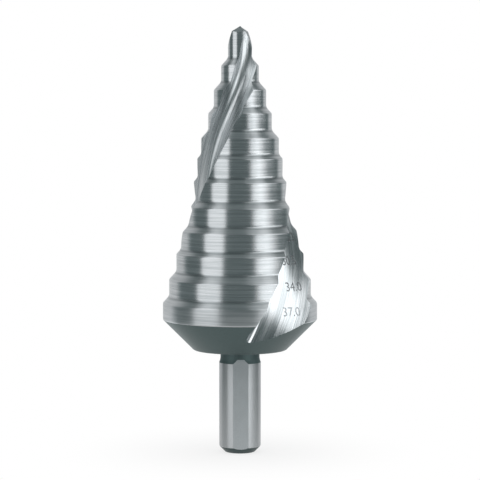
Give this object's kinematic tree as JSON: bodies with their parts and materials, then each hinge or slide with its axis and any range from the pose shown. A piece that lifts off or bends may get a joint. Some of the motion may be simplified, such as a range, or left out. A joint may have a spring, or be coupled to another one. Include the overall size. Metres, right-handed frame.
{
  "type": "step drill",
  "caption": "Spiral-fluted step drill for sheet metal: a stepped cone with a split point, a back cone, a neck and a round shank with chuck flats.",
  "frame": {"origin": "centre of the shank's end face", "axes": "+Z along the drill's axis from the shank to the point, -Y towards the chuck flat that faces the front"},
  "size_m": [0.037, 0.037, 0.1022],
  "materials": {
    "ground_steel": "fine ground, bright on the steps and flutes, darker on the back cone, neck and end chamfer"
  },
  "bodies": {
    "root": {"step_drill": "ground_steel"}
  },
  "joints": []
}
